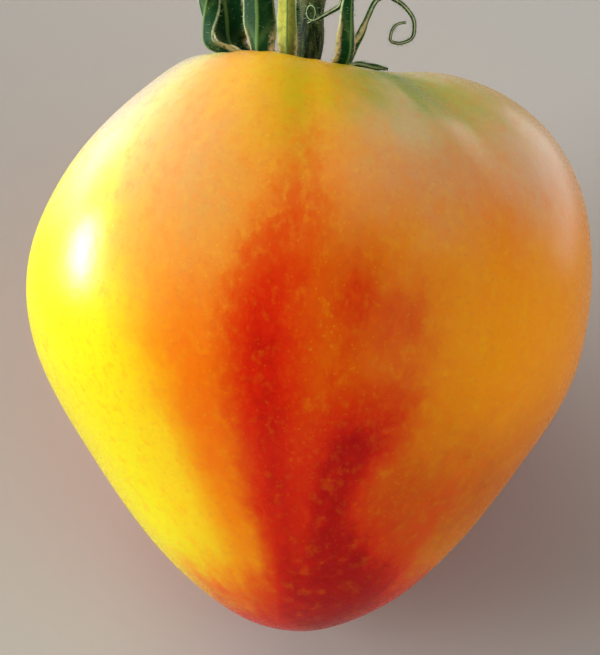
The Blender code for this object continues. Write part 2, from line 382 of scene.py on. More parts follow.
def flank_normal():
    return Vector((0.0, math.cos(FLANK_BELOW_EQUATOR), -math.sin(FLANK_BELOW_EQUATOR)))


def lying_pose():
    """Carries a mesh from the upright fruit's frame, in mm, to where the fruit lies, in metres."""
    foot = BALANCE_POINT + flank_normal() * BALANCE_TO_FLAT
    turn = Matrix.Rotation(FLANK_BELOW_EQUATOR - math.pi / 2, 4, "X")
    return Matrix.Scale(MM, 4) @ turn @ Matrix.Translation(-foot)


def add_piece(name, mesh, material, slot, *nodes):
    """Puts a mesh of the upright fruit where the fruit lies and ties it to the fixed frame."""
    mesh.transform(lying_pose())
    mesh.materials.append(material)
    mesh.shade_smooth()
    piece = bpy.data.objects.new(name, mesh)
    bpy.context.scene.collection.objects.link(piece)
    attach(piece, "root")
    if nodes:
        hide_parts(*nodes)
    return piece


def mesh_from(name, points, faces):
    mesh = bpy.data.meshes.new(name)
    mesh.from_pydata([tuple(p) for p in points], [], faces)
    mesh.validate()
    shape = bmesh.new()
    shape.from_mesh(mesh)
    bmesh.ops.recalc_face_normals(shape, faces=shape.faces[:])
    shape.to_mesh(mesh)
    shape.free()
    return mesh


def tube_faces(rings, sides):
    """The faces of a tube of that many rings of points, closed at both ends."""
    faces = [tuple(range(sides))]
    for i in range(rings - 1):
        for j in range(sides):
            k = (j + 1) % sides
            faces.append((i * sides + j, i * sides + k, (i + 1) * sides + k, (i + 1) * sides + j))
    faces.append(tuple(range((rings - 1) * sides, rings * sides)))
    return faces


def globe_faces(rings, sides):
    """The faces of a closed shape of rings of points, whose two end points follow the rings' points."""
    first_end = rings * sides
    faces = []
    for i in range(rings):
        for j in range(sides):
            here, there = i * sides + j, i * sides + (j + 1) % sides
            if i == 0:
                faces.append((first_end, there, here))
            if i == rings - 1:
                faces.append((here, there, first_end + 1))
            else:
                faces.append((here, there, there + sides, here + sides))
    return faces


class Wire:
    """A number or colour inside a material. Sums and products of wires add the nodes that make them."""

    def __init__(self, tree, socket):
        self.tree = tree
        self.socket = socket

    def math(self, operation, *others, clamp=False):
        node = self.tree.nodes.new("ShaderNodeMath")
        node.operation = operation
        node.use_clamp = clamp
        for slot, value in zip(node.inputs, (self, *others)):
            feed(self.tree, slot, value)
        return Wire(self.tree, node.outputs[0])

    def __add__(self, other):
        return self.math("ADD", other)

    def __sub__(self, other):
        return self.math("SUBTRACT", other)

    def __mul__(self, other):
        return self.math("MULTIPLY", other)

    def __truediv__(self, other):
        return self.math("DIVIDE", other)

    def __rsub__(self, other):
        return (self * -1.0) + other

    def clamped(self):
        return self.math("ADD", 0.0, clamp=True)

    def smooth(self, low, high):
        """Rises smoothly from 0 at low to 1 at high."""
        node = self.tree.nodes.new("ShaderNodeMapRange")
        node.interpolation_type = "SMOOTHSTEP"
        feed(self.tree, node.inputs["Value"], self)
        feed(self.tree, node.inputs["From Min"], low)
        feed(self.tree, node.inputs["From Max"], high)
        return Wire(self.tree, node.outputs[0])

    def hump(self, centre, half_width):
        """1 at the centre, falling smoothly away on both sides."""
        away = (self - centre) / half_width
        return (away * away * -1.0).math("EXPONENT")

    def screen(self, other):
        """Both together, never over 1."""
        return 1.0 - (1.0 - self) * (1.0 - other)


def feed(tree, slot, value):
    if isinstance(value, Wire):
        tree.links.new(value.socket, slot)
    else:
        slot.default_value = value


class Finish:
    """A material under construction: its node tree, its shader and the places it is painted from."""

    def __init__(self, name):
        self.material = bpy.data.materials.new(name)
        self.material.use_nodes = True
        self.tree = self.material.node_tree
        self.shader = self.tree.nodes["Principled BSDF"]

    def node(self, kind, output, inputs, **settings):
        made = self.tree.nodes.new(kind)
        for key, value in settings.items():
            setattr(made, key, value)
        for key, value in inputs.items():
            feed(self.tree, made.inputs[key], value)
        return Wire(self.tree, made.outputs[output])

    def upright_place(self):
        """The place on the upright fruit, in mm, as a vector wire."""
        place = self.node("ShaderNodeTexCoord", "Object", {})
        turn = lying_pose().inverted()
        return self.node(
            "ShaderNodeMapping",
            "Vector",
            {
                "Vector": place,
                "Location": turn.translation,
                "Rotation": turn.to_euler(),
                "Scale": (1 / MM, 1 / MM, 1 / MM),
            },
        )

    def parts(self, vector):
        split = self.tree.nodes.new("ShaderNodeSeparateXYZ")
        feed(self.tree, split.inputs[0], vector)
        return [Wire(self.tree, socket) for socket in split.outputs]

    def joined(self, x, y, z):
        return self.node("ShaderNodeCombineXYZ", "Vector", {"X": x, "Y": y, "Z": z})

    def noise(self, vector, scale, detail=2.0, roughness=0.5):
        inputs = {"Vector": vector, "Scale": scale, "Detail": detail, "Roughness": roughness}
        return self.node("ShaderNodeTexNoise", "Fac", inputs)

    def cells(self, vector, scale):
        return self.node("ShaderNodeTexVoronoi", "Distance", {"Vector": vector, "Scale": scale})

    def mix(self, share, first, second):
        made = self.tree.nodes.new("ShaderNodeMix")
        made.data_type = "RGBA"
        made.clamp_factor = True
        feed(self.tree, made.inputs["Factor"], share)
        for slot, value in ((made.inputs[6], first), (made.inputs[7], second)):
            feed(self.tree, slot, value if isinstance(value, Wire) else (*value, 1.0))
        return Wire(self.tree, made.outputs[2])

    def set(self, **sockets):
        """Sets the shader's sockets: a name's underscores stand for spaces."""
        for key, value in sockets.items():
            feed(self.tree, self.shader.inputs[key.replace("_", " ")], value)

    def bump(self, height, distance, strength=1.0):
        """Raises the skin by the height wire, whose full height is the distance in mm."""
        inputs = {"Height": height, "Distance": distance * MM, "Strength": strength}
        self.set(Normal=self.node("ShaderNodeBump", "Normal", inputs))


class Streak(NamedTuple):
    """A red streak that climbs from the tip along a meridian and then leans over.

    Azimuths of its foot and its end and its half width are in degrees. The height from which it leans,
    its end and the length over which it fades are in mm.
    """

    foot: float
    end: float
    half_width: float
    lean_from: float
    high: float
    fade: float
    strength: float


STREAKS = (
    Streak(-10, 1, 8.4, 46, 84, 40, 0.88),
    Streak(6, 16, 10.0, 16, 44, 14, 0.95),
    Streak(42, 46, 8.0, 10, 34, 22, 0.4),
    Streak(98, 94, 9.0, 10, 54, 30, 0.6),
    Streak(124, 118, 9.0, 30, 68, 34, 0.85),
    Streak(150, 154, 8.0, 20, 50, 26, 0.7),
    Streak(-176, -170, 9.5, 30, 72, 36, 0.9),
    Streak(-140, -146, 9.0, 20, 52, 28, 0.7),
    Streak(-104, -100, 8.0, 20, 42, 24, 0.5),
)


class Patch(NamedTuple):
    """A soft patch of colour: azimuth and half width in degrees, height and half height in mm."""

    colour: str
    azimuth: float
    half_width: float
    height: float
    half_height: float
    strength: float


PATCHES = (
    Patch("straw", -41, 11, 22, 20, 1.0),
    Patch("straw", -12, 22, 86, 9, 0.6),
    Patch("orange", -25, 8.5, 39, 26, 1.0),
    Patch("orange", -46, 30, 8, 4, 0.9),
    Patch("rust", 58, 30, 20, 13, 0.95),
    Patch("rust", 30, 14, 20, 11, 0.9),
    Patch("rust", 6, 9, 57, 12, 0.5),
    Patch("rust", -150, 50, 22, 12, 0.6),
    Patch("peach", -26, 15, 69, 15, 1.0),
    Patch("peach", -43, 8, 69, 14, 0.6),
    # The pinkish shoulder with painted reflection in it; the second patch is a painted pinkish highlight.
    Patch("tan", 34, 28, 71, 9, 0.9),
    Patch("tan", 64, 12, 69, 9, 0.8),
    Patch("tan", 150, 40, 70, 8, 0.5),
    Patch("red", 3, 22, 36, 25, 0.75),
    Patch("red", 4, 12, 22, 12, 0.7),
    Patch("red", 24, 12, 15, 13, 0.65),
    Patch("red", 9, 6, 52, 7, 0.85),
    Patch("red", 20, 7, 49, 7, 0.6),
    Patch("red", 150, 60, 30, 26, 0.35),
    Patch("orange", 45, 9, 62, 9, 0.4),
    Patch("olive", 44, 38, 83.5, 8, 1.0),
    Patch("olive", -3, 5, 80, 9, 0.35),
    # Painted shade: darker olive beside the calyx.
    Patch("moss", 36, 16, 86, 6, 0.9),
    # Painted reflection: pale sheen on the crests of the shoulders, on the right and on the upper left.
    Patch("cream", 70, 18, 74, 8, 0.5),
    Patch("cream", 28, 13, 78, 5, 0.35),
    Patch("cream", 66, 13, 87, 3.5, 0.9),
    Patch("cream", -72, 28, 83, 14, 1.0),
    Patch("olive", 120, 30, 84, 8, 0.7),
    Patch("olive", -120, 50, 86, 8, 0.6),
)


# The yellow flank: its middle, and where it starts and has ended beside that, in degrees of azimuth.
FLANK_MIDDLE = -68
FLANK_EDGE = (17, 36)


def skin_finish(settings):
    """Bicolour skin: yellow and amber, red streaks from the tip, olive shoulders, fine mottling, with
    patches of painted reflection and painted shade.
    """
    finish = Finish("tomato_skin")
    place = finish.upright_place()
    x, y, height = finish.parts(place)
    azimuth = (x - FRUIT_MIDDLE.x).math("ARCTAN2", y * -1.0) * (180 / math.pi)
    reach = (x * x + y * y).math("SQRT")
    slow = finish.noise(place, 0.045, 2.0)
    patchy = finish.noise(place, 0.16, 4.0, 0.6)
    blotches = finish.noise(finish.joined(x, y, height * 0.6), 0.42, 4.0, 0.65)
    direction = finish.joined(x / reach, y / reach, height * 0.018)
    fibres = finish.noise(direction, 9.0, 5.0, 0.62)
    warped = azimuth + (slow - 0.5) * 4 + (patchy - 0.5) * 7
    level = height + (patchy - 0.5) * 6 + (fibres - 0.5) * 8

    def away_from(middle):
        return (warped - middle).math("WRAP", 180.0, -180.0)

    flank = 1.0 - away_from(FLANK_MIDDLE).math("ABSOLUTE").smooth(*FLANK_EDGE)
    colour = finish.mix(flank, settings.amber, settings.yellow)
    for patch in PATCHES:
        cover = away_from(patch.azimuth).hump(0.0, patch.half_width)
        cover = cover * level.hump(patch.height, patch.half_height)
        cover = cover * (blotches * 0.8 + 0.6) * patch.strength
        colour = finish.mix(cover.clamped(), colour, getattr(settings, patch.colour))

    tip_edge = warped.hump(12, 26) * 9 + warped.hump(40, 60) * 4 + 4.5
    red = 1.0 - (level - tip_edge).smooth(-6, 6)
    for streak in STREAKS:
        middle = height.smooth(streak.lean_from, streak.high) * (streak.end - streak.foot) + streak.foot
        away = away_from(middle).math("ABSOLUTE") / streak.half_width
        across = 1.0 - (away + (blotches - 0.5) * 0.9 + height.smooth(46, 78) * 0.5).smooth(0.2, 1.7)
        fade = 1.0 - level.smooth(streak.high - streak.fade, streak.high)
        red = red.screen(across * fade * streak.strength)
    speckle = finish.noise(place, 1.6, 3.0, 0.7)
    mottle = finish.noise(finish.joined(x, y, height * 0.7), 0.62, 4.0, 0.62) - 0.5
    red = (red + mottle * red * (1.0 - red) * 3.2).clamped()
    reddened = 1.0 - (1.0 - red).math("POWER", 2.0)
    colour = finish.mix(reddened, colour, settings.red)
    heart = (red * 0.8 + blotches * 0.5 + warped.hump(30, 50) * 0.3).smooth(0.95, 1.4)
    colour = finish.mix(heart, colour, settings.deep_red)

    pores = 1.0 - finish.cells(place, 0.9).smooth(0.05, 0.22)
    colour = finish.mix((speckle - 0.5).smooth(0.0, 0.2) * 0.16, colour, settings.deep_red)
    colour = finish.mix(mottle.smooth(0.0, 0.2) * 0.22, colour, settings.orange)
    colour = finish.mix((mottle * -1.0).smooth(0.0, 0.2) * 0.1 * (1.0 - reddened), colour, settings.straw)
    colour = finish.mix(pores * 0.16 * (1.0 - reddened * 0.7), colour, settings.yellow)

    ring = (1.0 - reach.smooth(4.6, 6.4)) * height.smooth(70, 74)
    scar = 1.0 - (reach + (speckle - 0.5) * 1.2).smooth(0.5, 1.3)
    scar = scar * (1.0 - height.smooth(4, 8))
    colour = finish.mix(ring.screen(scar) * (speckle * 0.7 + 0.5), colour, settings.cork)

    finish.set(
        Base_Color=colour,
        Roughness=(speckle - 0.5) * 0.12 + patchy * 0.06 + (settings.roughness - 0.03),
        Specular_IOR_Level=settings.gloss,
        Subsurface_Weight=settings.translucence,
        Subsurface_Radius=(1.0, 0.35, 0.08),
        Subsurface_Scale=4 * MM,
    )
    grain = speckle * 0.5 + finish.noise(place, 0.55, 2.0) - pores * 0.35
    finish.bump(grain, 0.06, 0.5)
    return finish.material


def fruit_mesh(settings):
    """The skin: slow lumps, folds that run into the stem cavity, and the flat spot that it rests on."""
    rings = settings.rings
    segments = settings.segments
    along = np.linspace(0, 1, rings + 1)[1:-1]
    around = np.linspace(-math.pi, math.pi, segments, endpoint=False)
    t, azimuth = np.meshgrid(along, around, indexing="ij")
    grid = fruit_points(t, azimuth)
    ends = fruit_points(np.array([0.0, 1.0]), np.zeros(2))
    points = [Vector(p) for p in grid.reshape(-1, 3)]
    shares = t.reshape(-1)
    flat_normal = flank_normal()
    flat_point = BALANCE_POINT + flat_normal * BALANCE_TO_FLAT
    for point, share in zip(points, shares):
        outward = (point - FRUIT_MIDDLE).normalized()
        lumps = noise.noise(point * 0.045) + 0.35 * noise.noise(point * 0.13)
        bearing = Vector((point.x, point.y, 0.0)).normalized()
        folds = noise.noise(bearing * 4.5 + UP * share * 5.0)
        folds += 0.5 * noise.noise(bearing * 11.0 + UP * share * 7.0)
        near_stalk = float(ease((share - 0.74) / 0.12) * (1 - ease((share - 0.93) / 0.05)))
        rise = lumps * settings.lump_height + folds * near_stalk * settings.wrinkle_height
        point += outward * (rise / MM)
        beyond = (point - flat_point).dot(flat_normal)
        if beyond > 0:
            point -= flat_normal * beyond
    points += [Vector(ends[0]), Vector(ends[1])]
    return mesh_from("fruit_skin", points, globe_faces(rings - 1, segments))


def eased(angles, share):
    """The angle at a share of the length, eased between the stated (share, angle) pairs."""
    if share <= angles[0][0]:
        return angles[0][1]
    for (start, low), (end, high) in zip(angles, angles[1:]):
        if share <= end:
            return low + (high - low) * float(ease((share - start) / (end - start)))
    return angles[-1][1]


def sepal_stations(sepal, stations):
    """[(share of the length, point, across, out of the blade)] along a sepal's midrib, in mm."""
    heading = math.radians(sepal.azimuth)
    outward = Vector((math.sin(heading), -math.cos(heading), 0.0))
    across = outward.cross(UP)
    point = UP * SEPAL_FOOT_HEIGHT + outward * SEPAL_FOOT_REACH
    result = []
    for i in range(stations + 1):
        share = i / stations
        climb = math.radians(eased(sepal.climbs, share))
        along = outward * math.cos(climb) + UP * math.sin(climb)
        roll = Matrix.Rotation(math.radians(eased(sepal.twists, share)), 3, along)
        inward = across.cross(along)
        if i == 0:
            result += [(0.0, point - outward * depth, across, inward) for depth in SEPAL_ROOT]
        result.append((share, point.copy(), roll @ across, roll @ inward))
        point += along * (sepal.length / stations)
    return result


def sepal_width(sepal, share):
    """A sepal's width in mm: a narrow foot, a broad blade and a drawn-out tip or a thread."""
    blade = 0.0
    if share < sepal.blade_share:
        blade = sepal.width * math.sin(math.pi * (share / sepal.blade_share) ** 0.75)
    foot = 0.62 * sepal.width * (1 - float(ease(share * 4)))
    thread = 0.85 - 0.45 * float(ease(share * 1.6 - 0.6))
    return max(blade, foot, thread)


def broadness(half):
    """0 where a sepal is a round thread, 1 where it is a flat blade, from half its width in mm."""
    return min(1.0, max(0.0, (half - THREAD_HALF_WIDTH) / BLADE_WIDENING))


def channel_rise(half, rim):
    """How far the blade bends up, in mm, at a share of the way from the midrib to its edge."""
    return half * 0.42 * rim**1.6 * broadness(half)


def sepal_mesh(name, sepal, settings):
    """A blade with a channel along its face, a raised midrib on its back and wavy thin edges."""
    stations = round(sepal.length * STATIONS_PER_MM)
    blade = settings.blade_thickness / MM
    rib_height = settings.rib_height / MM
    steps = [i / BLADE_STEPS for i in range(-BLADE_STEPS, BLADE_STEPS + 1)]
    points = []
    coordinates = []
    rows = sepal_stations(sepal, stations)
    for share, point, across, inward in rows:
        half = sepal_width(sepal, share) / 2
        broad = broadness(half)
        wave = 0.16 * broad * math.sin(share * sepal.length * 1.1 + sepal.azimuth)
        sheet = blade * (1.0 - 0.35 * share)
        front = []
        back = []
        for u in steps:
            rim = abs(u)
            channel = channel_rise(half, rim) + wave * rim * rim * (1 if u > 0 else -0.6)
            round_thread = (1 - broad) * half * 0.9 * math.sqrt(max(0.0, 1 - u * u))
            thick = (sheet * (1 - 0.62 * rim**2) * 0.5) * broad + round_thread + 0.03
            rib = rib_height * (1 - 0.5 * share) * math.exp(-((u / 0.16) ** 2)) * broad
            side = across * (u * half)
            front.append(point + side + inward * (channel + thick))
            back.append(point + side + inward * (channel - thick - rib))
        points += front + back[::-1]
        row = [((u + 1) / 2, share) for u in steps]
        coordinates += row + row[::-1]
    mesh = mesh_from(name, points, tube_faces(len(rows), 2 * len(steps)))
    layer = mesh.uv_layers.new(name="blade")
    for loop in mesh.loops:
        layer.data[loop.index].uv = coordinates[loop.vertex_index]
    return mesh


def sepal_finish(settings, name, sunlit):
    """Matt green leaf: pale midrib, slanting veins, paler edges, fine mottle, and painted sunlight in
    yellow where sunlit.
    """
    finish = Finish(name)
    place = finish.upright_place()
    blade = finish.node("ShaderNodeUVMap", "UV", {}, uv_map="blade")
    across, along, _ = finish.parts(blade)
    from_rib = (across - 0.5).math("ABSOLUTE") * 2.0
    mottle = finish.noise(place, 1.3, 4.0, 0.65)
    veins = ((along * 26.0) - (from_rib * 3.4) + (mottle - 0.5) * 1.4).math("SINE") * 0.5 + 0.5
    veins = veins.math("POWER", 6.0) * 0.3 * (1.0 - from_rib * 0.6)
    midrib = (1.0 - from_rib.smooth(0.03, 0.16)) * 0.85
    edges = from_rib.smooth(0.86, 1.0) * (mottle.smooth(0.3, 0.6) * 0.5 + 0.4)
    foot = 1.0 - along.smooth(0.02, 0.12)
    dried = from_rib.smooth(0.62, 0.9) * along.smooth(0.14, 0.2) * (1.0 - along.smooth(0.3, 0.42))
    side = across.smooth(0.15, 0.6) * 0.6 + 0.4
    # Painted sunlight: yellow up the blade, stronger towards one side.
    yellow = along.smooth(0.16, 0.42) * side * (mottle.smooth(0.25, 0.6) * 0.4 + 0.45) * sunlit
    # The base green has painted shade in it.
    colour = finish.mix(mottle.smooth(0.4, 0.85) * 0.16, settings.dark_green_and_shade, settings.light)
    colour = finish.mix(yellow, colour, settings.yellow)
    colour = finish.mix(veins.screen(midrib).screen(foot * 0.3), colour, settings.light)
    colour = finish.mix(edges, colour, settings.edge)
    colour = finish.mix(dried * mottle.smooth(0.3, 0.55), colour, settings.dry)
    finish.set(Base_Color=colour, Roughness=mottle * 0.2 + 0.6, Specular_IOR_Level=0.16)
    finish.set(Subsurface_Weight=0.08, Subsurface_Radius=(0.4, 1.0, 0.15), Subsurface_Scale=0.8 * MM)
    finish.bump(mottle + veins * 1.2, 0.12, 0.6)
    return finish.material


def hair_finish(settings):
    """Pale hairs, greener towards some of them."""
    finish = Finish("plant_hair")
    tint = finish.noise(finish.upright_place(), 0.6, 2.0)
    finish.set(Base_Color=finish.mix(tint.smooth(0.35, 0.65), settings.edge, settings.light))
    finish.set(Roughness=tint * 0.2 + 0.35)
    return finish.material


HAIR_RADIUS = 0.035


def add_hair(points, faces, root, direction, length):
    """One closed three-sided spike."""
    side = direction.orthogonal().normalized()
    third = direction.cross(side)
    first = len(points)
    for k in range(3):
        angle = 2 * math.pi * k / 3
        points.append(root + (side * math.cos(angle) + third * math.sin(angle)) * HAIR_RADIUS)
    points.append(root + direction * length)
    foot = (first, first + 1, first + 2)
    faces += [(foot[k], foot[(k + 1) % 3], first + 3) for k in range(3)]
    faces.append(foot[::-1])


def random_direction(chance, axis, spread):
    """A direction near the axis, tilted by up to the spread at random."""
    tilt = Vector([chance.uniform(-1, 1) for _ in range(3)])
    return (axis.normalized() + tilt * spread).normalized()


def sepal_hairs(settings):
    """Short hairs on both faces of the sepals and, more of them, along their edges."""
    chance = random.Random(11)
    points = []
    faces = []
    longest = settings.hair_length / MM
    for sepal in SEPALS.values():
        stations = sepal_stations(sepal, HAIR_STATIONS)
        for _ in range(settings.hairs_per_sepal):
            share, point, across, inward = stations[chance.randrange(6, HAIR_STATIONS - 2)]
            half = sepal_width(sepal, share) / 2
            on_edge = chance.random() < 0.6
            u = chance.choice((-1, 1)) if on_edge else chance.uniform(-0.9, 0.9)
            face = chance.choice((-1, 1))
            root = point + across * (u * half * 0.97) + inward * (channel_rise(half, abs(u)) + face * 0.2)
            axis = across * u * 1.6 + inward * face * 0.8 if on_edge else inward * face
            direction = random_direction(chance, axis, 0.45)
            add_hair(points, faces, root, direction, longest * chance.uniform(0.45, 1.0))
    return mesh_from("calyx_hairs", points, faces)


def nearness(azimuth, sepal):
    """1 in a sepal's own direction, falling to nothing within some 30 degrees."""
    return math.exp(-((math.remainder(azimuth - sepal.azimuth, 360) / 15) ** 2))


def seat_mesh():
    """The calyx's seat: a low dome that swells where a sepal grows out of it."""
    outline = np.array(SEAT_OUTLINE)[::-1]
    steps = np.linalg.norm(np.diff(outline, axis=0), axis=1)
    along = np.concatenate([[0.0], np.cumsum(steps)]) / steps.sum()
    rings = 28
    segments = 96
    t = np.linspace(0, 1, rings + 1)[1:-1]
    reach = np.interp(t, along, outline[:, 0])
    height = np.interp(t, along, outline[:, 1])
    points = []
    for r, h in zip(reach, height):
        for j in range(segments):
            azimuth = 360 * j / segments
            near = max(nearness(azimuth, sepal) for sepal in SEPALS.values())
            swell = 1 + (0.12 * near - 0.06) * min(1.0, r / 3)
            grain = 0.12 * noise.noise(Vector((r * 0.8, azimuth * 0.12, h)))
            angle = math.radians(azimuth)
            top = (0.35 * near - 0.15) * min(1.0, r / 3) * (1 if h > 1.2 else 0)
            reached = r * swell
            rise = SEAT_FOOT + h + top + grain
            points.append((reached * math.sin(angle), -reached * math.cos(angle), rise))
    points += [(0.0, 0.0, SEAT_FOOT), (0.0, 0.0, SEAT_FOOT + SEAT_OUTLINE[0][1])]
    return mesh_from("calyx_crown", points, globe_faces(rings - 1, segments))


def seat_finish(settings):
    """Green dome with paler radial ridges and a rough grain."""
    finish = Finish("calyx_seat_green")
    place = finish.upright_place()
    x, y, _ = finish.parts(place)
    reach = (x * x + y * y).math("SQRT")
    spokes = finish.noise(finish.joined(x / reach, y / reach, reach * 0.1), 6.0, 3.0)
    grain = finish.noise(place, 1.8, 4.0, 0.65)
    # The seat's base is the same green with painted shade in it.
    colour = finish.mix(spokes.smooth(0.4, 0.62), settings.dark_green_and_shade, settings.light)
    colour = finish.mix(grain.smooth(0.5, 0.75) * 0.5, colour, settings.edge)
    finish.set(Base_Color=colour, Roughness=grain * 0.2 + 0.45)
    finish.bump(grain + spokes, 0.15, 0.7)
    return finish.material


def stalk_path(stations):
    """[(share, point, across, other across, radius)] up the stalk, in mm."""
    knots = [height for _, _, height, _ in STALK]
    columns = [natural_spline(knots, [row[i] for row in STALK]) for i in (0, 1, 3)]
    heights = np.linspace(-STALK_ROOT, knots[-1], stations + 1)
    places = [Vector((columns[0](h), columns[1](h), STALK_FOOT + h)) for h in heights]
    result = []
    for i, h in enumerate(heights):
        before, after = places[max(i - 1, 0)], places[min(i + 1, stations)]
        along = (after - before).normalized()
        across = along.cross(Vector((0.0, 1.0, 0.0))).normalized()
        result.append((h / knots[-1], places[i], across, along.cross(across), float(columns[2](h))))
    return result


# The broken end, from its rim to its heart: (share of the stalk's radius, height over its end in mm).
BROKEN_END = ((0.86, 0.10), (0.70, 0.05), (0.50, -0.22), (0.28, -0.38), (0.10, -0.42))


def stalk_mesh():
    """A ridged stalk whose upper end is broken off: a rough rim around a sunken pith."""
    sides = 40
    path = stalk_path(STALK_STATIONS)
    rings = []
    for share, point, across, other, radius in path:
        ring = []
        for j in range(sides):
            angle = 2 * math.pi * j / sides
            ridges = 0.05 * math.cos(5 * angle + 2.2 * share) + 0.03 * math.cos(11 * angle - share * 4)
            grain = 0.06 * noise.noise(Vector((math.cos(angle) * 2, math.sin(angle) * 2, share * 14)))
            knuckle_groove = -0.10 * math.exp(-(((share * STALK[-1][2] - KNUCKLE_HEIGHT) / 0.35) ** 2))
            reach = radius * (1 + ridges + grain + knuckle_groove)
            ring.append(point + (across * math.cos(angle) + other * math.sin(angle)) * reach)
        rings.append(ring)
    _, end, across, other, radius = path[-1]
    along = across.cross(other).normalized()
    if along.z < 0:
        along = -along
    for reach, depth in BROKEN_END:
        ring = []
        for j in range(sides):
            angle = 2 * math.pi * j / sides
            grain_place = Vector((math.cos(angle) * reach * 5, math.sin(angle) * reach * 5, depth))
            rough = 0.14 * noise.noise(grain_place)
            spot = end + (across * math.cos(angle) + other * math.sin(angle)) * radius * reach
            ring.append(spot + along * (depth + rough))
        rings.append(ring)
    return mesh_from("stalk_stem", [p for ring in rings for p in ring], tube_faces(len(rings), sides))


def stalk_finish(settings):
    """Green stalk with long streaks, a paler knuckle and pith at the broken end."""
    finish = Finish("stalk_skin")
    place = finish.upright_place()
    x, y, height = finish.parts(place)
    streaks = finish.noise(finish.joined(x * 1.6, y * 1.6, height * 0.16), 1.0, 4.0, 0.65)
    grain = finish.noise(place, 1.9, 4.0, 0.6)
    knuckle = height.hump(STALK_FOOT + KNUCKLE_HEIGHT, 2.0) * 0.8
    end = Vector(STALK[-1][:3])
    axis = (end - Vector(STALK[-2][:3])).normalized()
    beyond = x * axis.x + y * axis.y + (height - STALK_FOOT) * axis.z - end.dot(axis)
    # The base green carries painted shade: it is almost black.
    colour = finish.mix((streaks - 0.5).smooth(-0.1, 0.15) * 0.4, settings.green, settings.knuckle)
    colour = finish.mix(knuckle, colour, settings.knuckle)
    colour = finish.mix(beyond.smooth(-0.45, -0.2) * 0.85, colour, settings.pith)
    finish.set(Base_Color=colour, Roughness=grain * 0.25 + 0.55, Specular_IOR_Level=0.16)
    finish.bump(grain + streaks * 1.5, 0.12, 0.6)
    return finish.material


def stalk_hairs(settings, calyx):
    """Hairs all round the stalk, as long as the calyx's."""
    chance = random.Random(5)
    path = stalk_path(STALK_STATIONS)
    points = []
    faces = []
    for _ in range(settings.hairs):
        _, point, across, other, radius = path[chance.randrange(4, STALK_STATIONS - 1)]
        angle = chance.uniform(0, 2 * math.pi)
        outward = across * math.cos(angle) + other * math.sin(angle)
        length = calyx.hair_length / MM * chance.uniform(0.4, 1.0)
        direction = random_direction(chance, outward, 0.4)
        add_hair(points, faces, point + outward * radius * 0.94, direction, length)
    return mesh_from("stalk_hairs", points, faces)


class TOMATO_OT_fruit(bpy.types.Operator):
    """Adds the fruit's skin with its streaks, shoulders, stem cavity and resting spot"""

    bl_idname = "tomato.fruit"
    bl_label = "Fruit"

    def execute(self, context):
        settings = context.scene.tomato_fruit
        add_piece("fruit_skin", fruit_mesh(settings), skin_finish(settings), "skin", "fruit")
        return {"FINISHED"}


class TOMATO_OT_calyx(bpy.types.Operator):
    """Adds the calyx: its seat, its sepals and their hairs"""

    bl_idname = "tomato.calyx"
    bl_label = "Calyx"

    def execute(self, context):
        settings = context.scene.tomato_calyx
        add_piece("calyx_crown", seat_mesh(), seat_finish(settings), "calyx", "calyx_seat")
        green = sepal_finish(settings, "sepal_green", 0.0)
        sunlit = sepal_finish(settings, "sepal_turned", 1.0)
        for node, sepal in SEPALS.items():
            name = node + "_leaf"
            finish = sunlit if node == SUNLIT_SEPAL else green
            add_piece(name, sepal_mesh(name, sepal, settings), finish, "calyx", node)
        add_piece("calyx_hairs", sepal_hairs(settings), hair_finish(settings), "calyx")
        return {"FINISHED"}


class TOMATO_OT_stalk(bpy.types.Operator):
    """Adds the stalk with its knuckle, its broken end and its hairs"""

    bl_idname = "tomato.stalk"
    bl_label = "Stalk"

    def execute(self, context):
        settings = context.scene.tomato_stalk
        calyx = context.scene.tomato_calyx
        add_piece("stalk_stem", stalk_mesh(), stalk_finish(settings), "stalk", "stalk")
        add_piece("stalk_hairs", stalk_hairs(settings, calyx), hair_finish(calyx), "stalk")
        return {"FINISHED"}


# The camera looks at this point of the upright fruit, from a little above its equator. The frame's
# height there is 655 pixels of 0.151 mm.
VIEW_CENTRE = Vector((0.0, 0.0, 46.0))
VIEW_ABOVE_EQUATOR = math.radians(3.0)
VIEW_DISTANCE = 900.0
VIEW_HEIGHT = 98.9
SENSOR = 36.0


def upright_to_world(direction):
    """A direction of the upright fruit as it points when the fruit lies."""
    return (lying_pose().to_3x3() @ Vector(direction)).normalized()


# The direction in the world that each soft light comes from, and its spread in degrees.
SUNS = {
    "left": ((-0.92, -0.12, 0.28), 36),
    "back": ((-0.62, 0.69, 0.38), 60),
    "right": ((0.80, -0.50, 0.30), 60),
}


def add_sun(name, direction, spread, strength):
    """A broad soft light from that direction, as wide as its spread in degrees, which leaves no glint."""
    lamp = bpy.data.lights.new(name, "SUN")
    lamp.angle = math.radians(spread)
    lamp.energy = strength
    light = bpy.data.objects.new(name, lamp)
    bpy.context.scene.collection.objects.link(light)
    light.rotation_euler = Vector(direction).to_track_quat("Z", "Y").to_euler()
    light.visible_glossy = False


class Softbox(NamedTuple):
    """A lamp that shows only in reflections: where it starts and ends, its width and its power."""

    start: tuple
    end: tuple
    width: float
    power: float


# In mm of the world. The fruit's flanks mirror what is close to the floor beside it and behind it.
SOFTBOXES = {
    "spot_softbox": Softbox((-182, 2, 38), (-162, 68, 38), 32, 0.35),
    "sheen_softbox": Softbox((-155, 75, 18), (-90, 110, 12), 30, 0.028),
    "right_softbox": Softbox((70, 112, 34), (116, 20, 24), 75, 0.03),
}


